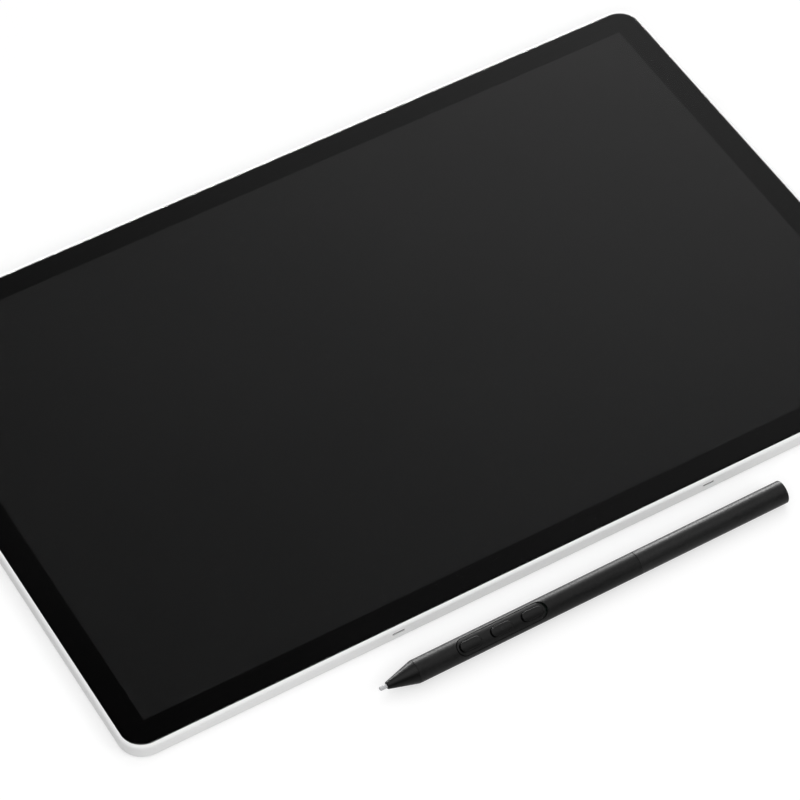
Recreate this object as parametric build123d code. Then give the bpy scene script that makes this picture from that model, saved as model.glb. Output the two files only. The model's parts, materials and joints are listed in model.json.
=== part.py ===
from build123d import *
from math import cos, radians, sin
import os

# A graphics tablet with a screen, and the pen that lies along its near side.
# The tablet lies flat on the surface z = 0 with its long side along X and its near long side towards -Y.
# The origin is on that surface, below the middle of the box that holds tablet and pen.

# Shared by all cuts
overrun = 1.0

# Cover glass and lit area
screen_length = 301.6
screen_width = 188.6
side_border = 9.2
near_border = 9.4
glass_corner = 7.8
glass_thick = 0.5

# Layers under the glass
mask_thick = 0.05
adhesive_thick = 0.05
panel_margin = 1.2
panel_thick = 0.5
panel_corner = 1.5
digitizer_margin = 1.0
digitizer_thick = 0.25
shield_thick = 0.07
layer_clear = 0.3

# Rear cover
rim_wall = 1.28
glass_gap = 0.12
rim_round = 1.0
base_round = 0.8
cover_floor = 0.6
ledge_width = 3.2

# Mid frame
frame_plate = 0.33
frame_clear = 0.1

# Feet
foot_proud = 0.45
foot_sunk = 0.25
foot_length = 40.0
foot_width = 8.0
foot_inset = 14.0
foot_clear = 0.05

# Frame screws, round the rim under the glass border
screw_shank = 1.4
screw_head = 2.4
screw_head_height = 0.5
screw_length = 2.6
screw_clear = 0.05
long_side_shares = (-0.45, -0.1, 0.1, 0.45)
short_side_shares = (-0.32, 0.0, 0.32)

# Sound slots in the near wall, with a speaker behind each
slot_offset = 61.2
slot_length = 4.7
slot_height = 1.0
slot_depth = 2.3
speaker_length = 28.0
speaker_width = 13.0
speaker_corner = 1.0
nozzle_margin = 0.4
nozzle_clear = 0.2
mesh_thick = 0.1

# Battery cells
cell_length = 118.0
cell_headroom = 0.4
cell_corner = 1.5
cell_spacing = 3.0
cell_clear = 2.0

# Main board
board_length = 232.0
board_width = 70.7
board_thick = 0.8
board_rise = 0.8
board_clear = 0.5
board_gap = 3.0
spreader_corner = 1.0
post_diameter = 4.0
post_inset = 5.0
board_screw_shank = 1.1
board_screw_head = 2.2
board_screw_head_height = 0.4
board_screw_reach = 0.5

# Chips, their shields and the pads above them
chip_length = 18.0
chip_width = 16.0
chip_thick = 0.6
shield_can_length = 30.0
shield_can_width = 26.0
shield_can_height = 1.0
shield_can_wall = 0.2
shield_can_shares = (-0.3, -0.02, 0.2)
pad_margin = 4.0
pad_thick = 0.4
spreader_thick = 0.1
spreader_margin = 5.0

# Flexible circuits
flex_thick = 0.15
flex_clear = 0.2
flex_tail = 7.0
display_flex_width = 34.0
display_flex_x = 30.0
display_flex_inset = 2.2
digitizer_flex_width = 20.0
digitizer_flex_x = -14.0
digitizer_flex_inset = 6.0
battery_flex_width = 12.0
battery_flex_lap = 4.0
battery_flex_inset = 14.0

# USB-C receptacle in the right wall
port_setback = 18.6
port_floor_gap = 0.22
port_shell_width = 8.94
port_shell_height = 3.16
port_shell_wall = 0.3
port_length = 7.3
port_sunk = 0.2
port_clear = 0.1
port_base = 1.2
tongue_width = 6.7
tongue_thick = 0.7
tongue_length = 5.6

# Keys in the far wall
power_key_inset = 36.4
power_key_length = 10.0
volume_key_length = 12.0
volume_key_gap = 3.0
power_to_volume_gap = 14.0
key_height = 1.6
key_proud = 0.3
key_clear = 0.08
key_travel = 0.25
travel_spare = 0.1
key_flange_rim = 0.25
key_flange_end = 0.8
key_flange_thick = 0.6
key_pocket_clear = 0.1
key_seat_gap = 0.02
key_stem_length = 2.4
key_stem_height = 0.9
key_round = 0.2
key_switch_length = 4.0
key_switch_width = 2.0
key_switch_height = 1.2

# Pen: outside
pen_gap = 12.95
pen_diameter = 8.3
pen_tip_x = -78.4
pen_roll = 30
pen_turn = 0.33
barrel_wall = 0.8
cone_length = 10.8
front_barrel_length = 86.1
rear_barrel_length = 59.5
seam_chamfer = 0.15
tail_round = 0.5
tail_wall = 1.2

# Pen: nib and cone
nib_diameter = 1.55
nib_round = 0.6
nib_shown = 2.7
nib_clear = 0.1
nib_travel = 0.3
cone_front = 2.5
cone_lip_round = 0.25
cone_wall = 0.7
spigot_length = 3.8
spigot_wall = 0.75
fit_clear = 0.05

# Pen: coil, nib holder and pressure sensor
core_diameter = 3.0
core_setback = 4.8
winding_diameter = 4.2
winding_setback = 2.5
winding_tail = 1.5
holder_diameter = 2.6
holder_gap = 0.4
holder_grip = 2.9
holder_floor = 0.5
sensor_diameter = 5.0
sensor_length = 4.3

# Pen: chassis
chassis_gap = 0.3
chassis_web = 0.9
chassis_bulkhead = 0.9
chassis_collar = 6.6
chassis_reach = 12.4
flat_level = 0.4
seal_setback = 4.4
seal_width = 1.2
seal_depth = 0.6
seal_clear = 0.02

# Pen: board and button switches
pen_board_clear = 1.0
pen_board_width = 4.8
pen_board_thick = 0.6
dome_length = 3.0
dome_width = 2.6

# Pen: switch plate and buttons
plate_setback = 0.65
plate_length = 34.8
plate_width = 6.4
plate_groove = 0.3
plate_groove_depth = 0.45
plate_rear_gap = 1.0
plate_seat = 2.35
button_count = 3
button_setback = 1.45
button_pitch = 11.9
button_travel = 0.3
button_length = 7.7
button_width = 3.4
button_proud = 0.45
button_round = 0.25
button_clear = 0.12
button_front_gap = 0.55
button_flange_rim = 0.35
button_flange_front = 0.8
button_flange_thick = 0.45
button_seat_gap = 0.05
dot_diameter = 0.8
dot_proud = 0.12

# Pen: spare nibs and nib puller, inside the rear barrel
rack_diameter = 6.2
rack_length = 14.0
rack_pitch = 3.0
rack_depth = 12.0
spare_nib_count = 3
puller_diameter = 6.4
puller_length = 5.0
puller_hole = 1.9

# Sizes of the tablet that follow from those above
glass_length = screen_length + 2 * side_border
glass_width = screen_width + 2 * near_border
body_length = glass_length + 2 * (rim_wall + glass_gap)
body_width = glass_width + 2 * (rim_wall + glass_gap)
body_corner = glass_corner + rim_wall + glass_gap
cavity_length = body_length - 2 * rim_wall
cavity_width = body_width - 2 * rim_wall
cavity_corner = body_corner - rim_wall
well_length = cavity_length - 2 * ledge_width
well_width = cavity_width - 2 * ledge_width
well_corner = cavity_corner - ledge_width
panel_length = screen_length + 2 * panel_margin
panel_width = screen_width + 2 * panel_margin
digitizer_length = panel_length + 2 * digitizer_margin
digitizer_width = panel_width + 2 * digitizer_margin
pocket_length = digitizer_length + 2 * layer_clear
pocket_width = digitizer_width + 2 * layer_clear
frame_length = cavity_length - 2 * frame_clear
frame_width = cavity_width - 2 * frame_clear

# Heights, from the surface below the feet
cover_base = foot_proud
floor_top = cover_base + cover_floor
board_base = floor_top + board_rise
board_top = board_base + board_thick
shield_can_top = board_top + shield_can_height
spreader_base = shield_can_top + pad_thick
ledge_top = spreader_base + spreader_thick
shield_base = ledge_top + frame_plate
digitizer_base = shield_base + shield_thick
panel_base = digitizer_base + digitizer_thick
panel_top = panel_base + panel_thick
mask_base = panel_top + adhesive_thick
glass_base = mask_base + mask_thick
body_top = glass_base + glass_thick
slot_level = body_top - slot_depth
speaker_top = ledge_top - nozzle_clear
cell_top = ledge_top - cell_headroom
port_level = floor_top + port_floor_gap + port_shell_height / 2
key_level = ledge_top - key_pocket_clear - key_flange_rim - key_height / 2

# Places on the tablet, from its middle
board_right = well_length / 2 - board_clear
board_left = board_right - board_length
board_far = well_width / 2 - board_clear
board_near = board_far - board_width
cell_near = -well_width / 2 + speaker_width + cell_clear
cell_far = board_near - board_gap
board_middle_x = (board_left + board_right) / 2
board_middle_y = (board_near + board_far) / 2
port_face = body_length / 2 - port_sunk
port_y = board_near + port_setback
screw_line = ledge_width / 2
power_key_x = body_length / 2 - power_key_inset
volume_up_x = power_key_x - power_key_length / 2 - power_to_volume_gap - volume_key_length / 2
volume_down_x = volume_up_x - volume_key_length - volume_key_gap

# Sizes of the pen that follow from those above
barrel_bore = pen_diameter - 2 * barrel_wall
chassis_diameter = barrel_bore - 2 * fit_clear
spigot_bore = chassis_diameter - 2 * spigot_wall
seal_bore = chassis_diameter - 2 * seal_depth

# Places of the whole; the pen's nearest point is at the wide end of its cone
cone_end = nib_shown + cone_length
pen_reach = pen_diameter / 2 + pen_diameter / 2 * cos(radians(pen_turn)) - cone_end * sin(radians(pen_turn))
tablet_y = (pen_gap + pen_reach - key_proud) / 2
pen_axis_y = tablet_y - body_width / 2 - pen_gap - pen_diameter / 2
tablet_place = Pos(0, tablet_y, 0)
pen_place = Pos(pen_tip_x, pen_axis_y, pen_diameter / 2) * Rot(0, 0, pen_turn) * Rot(pen_roll, 0, 0)

# Places along the pen, from the tip of the nib
seam_place = cone_end + front_barrel_length
pen_length = seam_place + rear_barrel_length
chassis_start = cone_end + spigot_length + chassis_gap
core_start = nib_shown + core_setback
core_end = chassis_start + chassis_web
winding_start = core_start + winding_setback
winding_end = core_end - winding_tail
holder_start = core_end + holder_gap
nib_length = holder_start + holder_grip
holder_end = nib_length + holder_floor
sensor_start = holder_end + nib_travel + travel_spare
sensor_end = sensor_start + sensor_length
chassis_flat_start = sensor_end + chassis_bulkhead
chassis_flat_end = seam_place - chassis_collar
chassis_end = seam_place + chassis_reach
seal_place = seam_place + seal_setback
pen_board_start = chassis_flat_start + pen_board_clear
pen_board_end = chassis_flat_end - pen_board_clear
plate_start = chassis_flat_start + plate_setback
plate_end = plate_start + plate_length
plate_rear = plate_end - plate_rear_gap
button_starts = [plate_start + button_setback + n * button_pitch for n in range(button_count)]
rack_end = chassis_end + rack_length

# Levels in the pen, from its axis towards the buttons
pen_board_top = flat_level + pen_board_thick
button_flange_top = plate_seat - button_seat_gap
button_base = button_flange_top - button_flange_thick
dome_top = button_base - button_travel - travel_spare


# Shapes that the pieces share
def slab(length, width, low, high, corner=0, x=0, y=0):
    """An upright plate or block between two heights, with round corners where a radius is given."""
    outline = RectangleRounded(length, width, corner) if corner else Rectangle(length, width)
    return Pos(x, y, low) * extrude(outline, amount=high - low)


def post(diameter, low, high, x, y):
    """An upright round bar between two heights."""
    return Pos(x, y, low) * extrude(Circle(diameter / 2), amount=high - low)


def through_long_wall(outline, x, level, start, depth):
    """An outline that faces the near side, run towards it from start."""
    return Pos(x, start, level) * Rot(90, 0, 0) * extrude(outline, amount=depth)


def through_short_wall(outline, y, level, start, depth):
    """An outline that faces the right side, run towards it from start."""
    return Pos(start, y, level) * Rot(0, 90, 0) * Rot(0, 0, 90) * extrude(outline, amount=depth)


def bar(diameter, start, end):
    """A round bar on the pen's axis, between two distances from the tip."""
    return Pos(start, 0, 0) * Rot(0, 90, 0) * extrude(Circle(diameter / 2), amount=end - start)


def taper(front_diameter, rear_diameter, start, end):
    """A cone on the pen's axis, between two distances from the tip."""
    front = (start, front_diameter / 2)
    rear = (end, rear_diameter / 2)
    return revolve(make_face(Polyline((start, 0), front, rear, (end, 0), close=True)), Axis.X)


def stadium(start, end, width, low, high):
    """A block with half-round ends along the pen's axis, between two distances from the tip."""
    return Pos((start + end) / 2, 0, low) * extrude(SlotOverall(end - start, width), amount=high - low)


def joined(pieces):
    """Several separate pieces as one node."""
    return Part() + list(pieces)


# Places of what repeats
def frame_screw_places():
    """Round the rim, on the middle line of the ledge."""
    side_x = cavity_length / 2 - screw_line
    side_y = cavity_width / 2 - screw_line
    long_sides = [(share * body_length, sign * side_y) for share in long_side_shares for sign in (-1, 1)]
    short_sides = [(sign * side_x, share * body_width) for share in short_side_shares for sign in (-1, 1)]
    return long_sides + short_sides


def foot_places():
    """One near each corner."""
    x = body_length / 2 - foot_inset - foot_length / 2
    y = body_width / 2 - foot_inset
    return [(sx * x, sy * y) for sx in (-1, 1) for sy in (-1, 1)]


def board_screw_places():
    """One in each corner of the main board."""
    xs = (board_left + post_inset, board_right - post_inset)
    ys = (board_near + post_inset, board_far - post_inset)
    return [(x, y) for x in xs for y in ys]


def shield_can_places():
    """In a row along the main board."""
    return [board_middle_x + share * board_length for share in shield_can_shares]


def cell_places():
    """Side by side."""
    return [sign * (cell_length + cell_spacing) / 2 for sign in (-1, 1)]


def slot_places():
    """Both sound slots."""
    return [sign * slot_offset for sign in (-1, 1)]


def keys():
    """The place and length of each key."""
    return {
        "power_key": (power_key_x, power_key_length),
        "volume_up_key": (volume_up_x, volume_key_length),
        "volume_down_key": (volume_down_x, volume_key_length),
    }


# Rear cover
def key_pocket(x, length):
    """Room in the ledge for a key's flange."""
    half_height = key_height / 2 + key_flange_rim + key_pocket_clear
    width = length + 2 * (key_flange_end + key_pocket_clear)
    middle = cavity_width / 2 - ledge_width / 2
    return slab(width, ledge_width, key_level - half_height, ledge_top + overrun, x=x, y=middle)


def key_hole(x, length):
    """The hole in the wall that a key slides in."""
    outline = SlotOverall(length + 2 * key_clear, key_height + 2 * key_clear)
    return through_long_wall(outline, x, key_level, body_width / 2 + overrun, rim_wall + 2 * overrun)


def speaker_notch(x):
    """Room in the ledge for a speaker's nozzle."""
    width = slot_length + 2 * (nozzle_margin + nozzle_clear)
    low = slot_level - slot_height / 2 - nozzle_clear
    return slab(width, ledge_width, low, ledge_top + overrun, x=x, y=ledge_width / 2 - cavity_width / 2)


def sound_slot(x):
    """The narrow hole in the near wall."""
    outline = SlotOverall(slot_length, slot_height)
    return through_long_wall(outline, x, slot_level, overrun - cavity_width / 2, rim_wall + 2 * overrun)


def port_outline(clear):
    """The receptacle's outline, with room all round."""
    return SlotOverall(port_shell_width + 2 * clear, port_shell_height + 2 * clear)


def port_cuts():
    """The hole in the right wall and the room behind it."""
    start = well_length / 2 - overrun
    hole = through_short_wall(port_outline(port_clear), port_y, port_level, start, body_length / 2)
    low = port_level - port_shell_height / 2 - port_clear
    width = port_shell_width + 2 * port_clear
    middle = cavity_length / 2 - ledge_width / 2
    return hole + slab(ledge_width, width, low, ledge_top + overrun, x=middle, y=port_y)


def make_rear_cover():
    """The light tray: outer shell, well, ledge, posts and all its holes."""
    shell = slab(body_length, body_width, cover_base, body_top, body_corner)
    shell = fillet(shell.edges().group_by(Axis.Z)[-1], radius=rim_round)
    shell = fillet(shell.edges().group_by(Axis.Z)[0], radius=base_round)
    shell -= slab(cavity_length, cavity_width, ledge_top, body_top + overrun, cavity_corner)
    shell -= slab(well_length, well_width, floor_top, ledge_top + overrun, well_corner)
    for x, y in board_screw_places():
        shell += post(post_diameter, floor_top, board_base, x, y)
        shell -= post(board_screw_shank + 2 * screw_clear, board_base - board_screw_reach, board_top, x, y)
    for x, y in frame_screw_places():
        low = ledge_top - screw_length
        shell -= post(screw_shank + 2 * screw_clear, low, body_top, x, y)
    for x, y in foot_places():
        outline = SlotOverall(foot_length + 2 * foot_clear, foot_width + 2 * foot_clear)
        shell -= Pos(x, y, cover_base + foot_sunk) * extrude(outline, amount=-foot_sunk - overrun)
    for x, length in keys().values():
        shell -= key_pocket(x, length)
        shell -= key_hole(x, length)
    for x in slot_places():
        shell -= speaker_notch(x)
        shell -= sound_slot(x)
    return shell - port_cuts()


def make_rubber_feet():
    """Four low strips, each part sunk in the cover."""
    outline = SlotOverall(foot_length, foot_width)
    return joined(Pos(x, y, 0) * extrude(outline, amount=foot_proud + foot_sunk) for x, y in foot_places())


# Mid frame and its screws
def flex_slot(x, far, width):
    """The slot that a flexible circuit drops through."""
    length = width + 2 * flex_clear
    return slab(length, flex_thick + 2 * flex_clear, floor_top, panel_base, x=x, y=far - flex_thick / 2)


def display_flex_far():
    """How far back the display's flexible circuit drops."""
    return panel_width / 2 - display_flex_inset


def digitizer_flex_far():
    """How far back the digitizer's flexible circuit drops."""
    return digitizer_width / 2 - digitizer_flex_inset


def make_mid_frame():
    """A plate with a raised border that carries the glass."""
    frame = slab(frame_length, frame_width, ledge_top, panel_top, cavity_corner - frame_clear)
    frame -= slab(pocket_length, pocket_width, shield_base, panel_top + overrun, panel_corner)
    for x, y in frame_screw_places():
        frame -= post(screw_shank + 2 * screw_clear, ledge_top - overrun, panel_top + overrun, x, y)
        head_low = panel_top - screw_head_height
        frame -= post(screw_head + 2 * screw_clear, head_low, panel_top + overrun, x, y)
    frame -= flex_slot(display_flex_x, display_flex_far(), display_flex_width)
    frame -= flex_slot(digitizer_flex_x, digitizer_flex_far(), digitizer_flex_width)
    notch_top = port_level + port_shell_height / 2 + port_clear
    notch_start = port_face - port_length - port_clear
    notch_length = frame_length / 2 - notch_start + overrun
    notch_width = port_shell_width + 2 * port_clear
    notch_middle = notch_start + notch_length / 2
    return frame - slab(notch_length, notch_width, ledge_top - overrun, notch_top, x=notch_middle, y=port_y)


def make_frame_screws():
    """Screws that hold the mid frame on the ledge."""
    head_low = panel_top - screw_head_height
    tip = ledge_top - screw_length + screw_clear
    pieces = []
    for x, y in frame_screw_places():
        pieces.append(post(screw_shank, tip, head_low, x, y) + post(screw_head, head_low, panel_top, x, y))
    return joined(pieces)


# Glass and the layers under it
def make_cover_glass():
    """Flush with the rim."""
    return slab(glass_length, glass_width, glass_base, body_top, glass_corner)


def make_border_mask():
    """The dark border on the underside of the glass."""
    mask = slab(glass_length, glass_width, mask_base, glass_base, glass_corner)
    return mask - slab(screen_length, screen_width, mask_base - overrun, glass_base + overrun)


def make_optical_bond():
    """Fills the window in the mask and holds the panel to the glass."""
    bond = slab(panel_length, panel_width, panel_top, mask_base, panel_corner)
    return bond + slab(screen_length, screen_width, mask_base, glass_base)


def make_glass_adhesive():
    """Holds the border of the glass to the mid frame."""
    ring = slab(frame_length, frame_width, panel_top, mask_base, cavity_corner - frame_clear)
    return ring - slab(pocket_length, pocket_width, panel_top - overrun, mask_base + overrun, panel_corner)


def make_display_panel():
    return slab(panel_length, panel_width, panel_base, panel_top, panel_corner)


def make_digitizer_board():
    """Senses the pen; the display's flexible circuit passes it."""
    board = slab(digitizer_length, digitizer_width, digitizer_base, panel_base, panel_corner)
    return board - flex_slot(display_flex_x, display_flex_far(), display_flex_width)


def make_shield_sheet():
    """Lies between the digitizer and the mid frame."""
    sheet = slab(digitizer_length, digitizer_width, shield_base, digitizer_base, panel_corner)
    sheet -= flex_slot(display_flex_x, display_flex_far(), display_flex_width)
    return sheet - flex_slot(digitizer_flex_x, digitizer_flex_far(), digitizer_flex_width)


# Electronics in the well
def make_heat_spreader():
    """On the underside of the mid frame, over the shields."""
    near = board_near + spreader_margin
    far = digitizer_flex_far() - flex_tail - spreader_margin
    left = board_left + spreader_margin
    right = port_face - port_length - spreader_margin
    middle_x = (left + right) / 2
    middle_y = (near + far) / 2
    return slab(right - left, far - near, spreader_base, ledge_top, spreader_corner, middle_x, middle_y)


def make_main_board():
    """Stands on four posts, with a notch for the receptacle."""
    corner = well_corner - board_clear
    board = slab(board_length, board_width, board_base, board_top, corner, board_middle_x, board_middle_y)
    for x, y in board_screw_places():
        board -= post(board_screw_shank + 2 * screw_clear, board_base - overrun, board_top + overrun, x, y)
    start = port_face - port_length - port_clear
    length = board_right + overrun - start
    width = port_shell_width + 2 * port_clear
    middle = start + length / 2
    return board - slab(length, width, board_base - overrun, board_top + overrun, x=middle, y=port_y)


def shield_can_y():
    """The middle of the row of shields."""
    return board_near + post_inset + shield_can_width / 2


def make_board_chips():
    places = shield_can_places()
    high = board_top + chip_thick
    return joined(slab(chip_length, chip_width, board_top, high, x=x, y=shield_can_y()) for x in places)


def make_chip_shields():
    """Thin lids over the chips."""
    pieces = []
    inner_length = shield_can_length - 2 * shield_can_wall
    inner_width = shield_can_width - 2 * shield_can_wall
    for x in shield_can_places():
        can = slab(shield_can_length, shield_can_width, board_top, shield_can_top, x=x, y=shield_can_y())
        roof = shield_can_top - shield_can_wall
        pieces.append(can - slab(inner_length, inner_width, board_top, roof, x=x, y=shield_can_y()))
    return joined(pieces)


def make_thermal_pads():
    """Between the shields and the heat spreader."""
    length = shield_can_length - 2 * pad_margin
    width = shield_can_width - 2 * pad_margin
    places = shield_can_places()
    return joined(slab(length, width, shield_can_top, spreader_base, x=x, y=shield_can_y()) for x in places)


def make_board_screws():
    pieces = []
    for x, y in board_screw_places():
        shank = post(board_screw_shank, board_base - board_screw_reach + screw_clear, board_top, x, y)
        pieces.append(shank + post(board_screw_head, board_top, board_top + board_screw_head_height, x, y))
    return joined(pieces)


def make_battery_cells():
    """Two flat pouches on the floor of the cover."""
    middle = (cell_near + cell_far) / 2
    width = cell_far - cell_near
    places = cell_places()
    return joined(slab(cell_length, width, floor_top, cell_top, cell_corner, x, middle) for x in places)


def make_battery_flexes():
    """From the inner end of each cell's far side onto the main board."""
    width = board_near - cell_far + battery_flex_lap
    high = board_top + flex_thick
    middle = cell_far + width / 2
    side = cell_spacing / 2 + battery_flex_inset + battery_flex_width / 2
    return joined(slab(battery_flex_width, width, board_top, high, x=x, y=middle) for x in (-side, side))


def hanging_flex(x, far, width, top):
    """A flexible circuit that drops from a board and lies on the main board."""
    leg = slab(width, flex_thick, board_top, top, x=x, y=far - flex_thick / 2)
    return leg + slab(width, flex_tail, board_top, board_top + flex_thick, x=x, y=far - flex_tail / 2)


def make_display_flex():
    return hanging_flex(display_flex_x, display_flex_far(), display_flex_width, panel_base)


def make_digitizer_flex():
    return hanging_flex(digitizer_flex_x, digitizer_flex_far(), digitizer_flex_width, digitizer_base)


# Sound
def make_speaker_units():
    """A flat box with a nozzle that reaches the slot."""
    pieces = []
    near = -well_width / 2
    wall = -cavity_width / 2 + mesh_thick
    nozzle_length = slot_length + 2 * nozzle_margin
    nozzle_low = slot_level - slot_height / 2
    for x in slot_places():
        middle = near + speaker_width / 2
        box = slab(speaker_length, speaker_width, floor_top, speaker_top, speaker_corner, x, middle)
        depth = middle - wall
        nozzle = slab(nozzle_length, depth, nozzle_low, speaker_top, x=x, y=wall + depth / 2)
        pieces.append(box + nozzle)
    return joined(pieces)


def make_speaker_meshes():
    """Dust meshes on the inside of the wall, over the slots."""
    length = slot_length + 2 * nozzle_margin
    low = slot_level - slot_height / 2
    middle = -cavity_width / 2 + mesh_thick / 2
    return joined(slab(length, mesh_thick, low, ledge_top, x=x, y=middle) for x in slot_places())


# Receptacle
def make_port_shell():
    """A drawn steel tube with a closed back."""
    start = port_face - port_length
    shell = through_short_wall(port_outline(0), port_y, port_level, start, port_length)
    inner = port_outline(-port_shell_wall)
    return shell - through_short_wall(inner, port_y, port_level, start + port_base, port_length)


def make_port_tongue():
    """The contact blade inside the receptacle."""
    outline = Rectangle(tongue_width, tongue_thick)
    start = port_face - port_length + port_base
    return through_short_wall(outline, port_y, port_level, start, tongue_length)


# Keys
def key_flange_face():
    """Where a key's flange stops against the wall."""
    return cavity_width / 2 - key_seat_gap


def make_key(x, length):
    """A cap in the wall with a flange and a stem behind it."""
    outer = body_width / 2 + key_proud
    face = key_flange_face()
    cap = through_long_wall(SlotOverall(length, key_height), x, key_level, outer, outer - face)
    cap = fillet(cap.edges().group_by(Axis.Y)[-1], radius=key_round)
    flange_outline = Rectangle(length + 2 * key_flange_end, key_height + 2 * key_flange_rim)
    flange = through_long_wall(flange_outline, x, key_level, face, key_flange_thick)
    stem_outline = Rectangle(key_stem_length, key_stem_height)
    stem_start = face - key_flange_thick
    stem_end = board_far + key_travel + travel_spare
    return cap + flange + through_long_wall(stem_outline, x, key_level, stem_start, stem_start - stem_end)


def make_key_switches():
    """On the far edge of the main board, one behind each key."""
    middle = board_far - key_switch_width / 2
    high = board_top + key_switch_height
    places = [x for x, length in keys().values()]
    return joined(slab(key_switch_length, key_switch_width, board_top, high, x=x, y=middle) for x in places)


# Pen nib and cone
def nib_shape(tip):
    """A nib whose point is at the given distance along the pen."""
    nib = bar(nib_diameter, tip, tip + nib_length)
    return fillet(nib.edges().group_by(Axis.X)[0], radius=nib_round)


def make_nib_holder():
    """A small cup that grips the back of the nib."""
    cup = bar(holder_diameter, holder_start, holder_end)
    return cup - bar(nib_diameter, holder_start, nib_length)


def make_nib_cone():
    """The glossy front cone, with a spigot that enters the barrel."""
    cone = taper(cone_front, pen_diameter, nib_shown, cone_end)
    cone = fillet(cone.edges().group_by(Axis.X)[0], radius=cone_lip_round)
    cone += bar(chassis_diameter, cone_end, cone_end + spigot_length)
    hollow = taper(cone_front - 2 * cone_wall, pen_diameter - 2 * cone_wall, nib_shown, cone_end)
    hollow += bar(spigot_bore, cone_end, cone_end + spigot_length + overrun)
    room = bar(spigot_bore, core_start - fit_clear, cone_end + spigot_length + overrun)
    cone -= hollow & room
    return cone - bar(nib_diameter + 2 * nib_clear, nib_shown - overrun, core_start)


# Pen barrel
def make_front_barrel():
    """A tube with a shelf for the switch plate, inside a deeper groove."""
    barrel = bar(pen_diameter, cone_end, seam_place)
    rims = barrel.edges().group_by(Axis.X)
    barrel = chamfer(rims[0] + rims[-1], length=seam_chamfer)
    barrel -= bar(barrel_bore, cone_end - overrun, seam_place + overrun)
    groove_floor = plate_seat - plate_groove_depth
    shelf_width = plate_width - 2 * plate_groove
    pocket = stadium(plate_start, plate_end, plate_width, groove_floor, pen_diameter)
    pocket -= stadium(plate_start + plate_groove, plate_rear, shelf_width, groove_floor, plate_seat)
    return barrel - pocket


def make_rear_barrel():
    """A tube with a flat closed tail, pushed over the chassis."""
    barrel = bar(pen_diameter, seam_place, pen_length)
    barrel = fillet(barrel.edges().group_by(Axis.X)[-1], radius=tail_round)
    barrel = chamfer(barrel.edges().group_by(Axis.X)[0], length=seam_chamfer)
    return barrel - bar(barrel_bore, seam_place - overrun, pen_length - tail_wall)


def button_block(start, front, extra, low, high):
    """A block of a button's outline, larger by front at its front end and by extra elsewhere."""
    return stadium(start - front, start + button_length + extra, button_width + 2 * extra, low, high)


def make_switch_plate():
    """A curved plate flush with the barrel, with a hole for each button."""
    width = plate_width - 2 * plate_groove
    plate = stadium(plate_start + plate_groove, plate_rear, width, plate_seat, pen_diameter)
    plate &= bar(pen_diameter, plate_start, plate_end)
    for start in button_starts:
        plate -= button_block(start, button_front_gap, button_clear, 0, pen_diameter)
    return plate


def make_button(start, dotted):
    """A rocker-shaped cap, a little proud, with a flange under the plate."""
    cap = button_block(start, 0, 0, button_base, pen_diameter)
    cap &= bar(pen_diameter + 2 * button_proud, cone_end, seam_place)
    cap = fillet(cap.faces().sort_by(Axis.Z)[-1].edges(), radius=button_round)
    flange = button_block(start, button_flange_front, button_flange_rim, button_base, button_flange_top)
    if dotted:
        middle = start + button_length / 2
        cap += post(dot_diameter, button_flange_top, pen_diameter / 2 + button_proud + dot_proud, middle, 0)
    return cap + flange


# Inside of the pen
def make_pen_chassis():
    """A round carrier with a flat for the board and a spigot for the rear barrel."""
    chassis = bar(chassis_diameter, chassis_start, chassis_end)
    chassis -= bar(core_diameter + 2 * fit_clear, chassis_start - overrun, sensor_start)
    chassis -= bar(sensor_diameter + 2 * fit_clear, core_end, sensor_end)
    flat_length = chassis_flat_end - chassis_flat_start
    flat_middle = (chassis_flat_start + chassis_flat_end) / 2
    chassis -= slab(flat_length, pen_diameter, flat_level, pen_diameter, x=flat_middle)
    seal_end = seal_place + seal_width
    groove = bar(pen_diameter, seal_place, seal_end) - bar(seal_bore, seal_place, seal_end)
    return chassis - groove


def make_barrel_seal():
    """The ring that holds the rear barrel on by friction."""
    seal_end = seal_place + seal_width
    ring = bar(barrel_bore - 2 * seal_clear, seal_place, seal_end)
    return ring - bar(seal_bore, seal_place - overrun, seal_end + overrun)


def make_coil_core():
    """The ferrite tube round the nib."""
    core = bar(core_diameter, core_start, core_end)
    return core - bar(nib_diameter + 2 * nib_clear, core_start - overrun, core_end + overrun)


def make_coil_winding():
    """The winding on the ferrite tube."""
    winding = bar(winding_diameter, winding_start, winding_end)
    return winding - bar(core_diameter, winding_start - overrun, winding_end + overrun)


def make_pressure_sensor():
    """Behind the nib holder, at the bottom of the chassis bore."""
    return bar(sensor_diameter, sensor_start, sensor_end)


def make_pen_board():
    """On the flat of the chassis."""
    middle = (pen_board_start + pen_board_end) / 2
    length = pen_board_end - pen_board_start
    return slab(length, pen_board_width, flat_level, pen_board_top, x=middle)


def make_button_switches():
    """One below each button."""
    middles = [start + button_length / 2 for start in button_starts]
    return joined(slab(dome_length, dome_width, pen_board_top, dome_top, x=x) for x in middles)


def rack_turns():
    """The holes of the rack, evenly round the axis."""
    return [Rot(360 * turn / spare_nib_count, 0, 0) for turn in range(spare_nib_count)]


def make_nib_rack():
    """A plug behind the chassis, with a blind hole for each spare nib."""
    rack = bar(rack_diameter, chassis_end, rack_end)
    hole = bar(nib_diameter + 2 * fit_clear, rack_end - rack_depth, rack_end + overrun)
    hole = Pos(0, 0, rack_pitch / 2) * hole
    for turn in rack_turns():
        rack -= turn * hole
    return rack


def make_spare_nibs():
    """Spare nibs in the rack, points first."""
    nib = Pos(0, 0, rack_pitch / 2) * nib_shape(rack_end - rack_depth)
    return joined(turn * nib for turn in rack_turns())


def make_nib_puller():
    """A ring at the tail end of the rear barrel, with a hole that grips a nib."""
    end = pen_length - tail_wall
    ring = bar(puller_diameter, end - puller_length, end)
    return ring - bar(puller_hole, end - puller_length - overrun, end)


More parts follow.
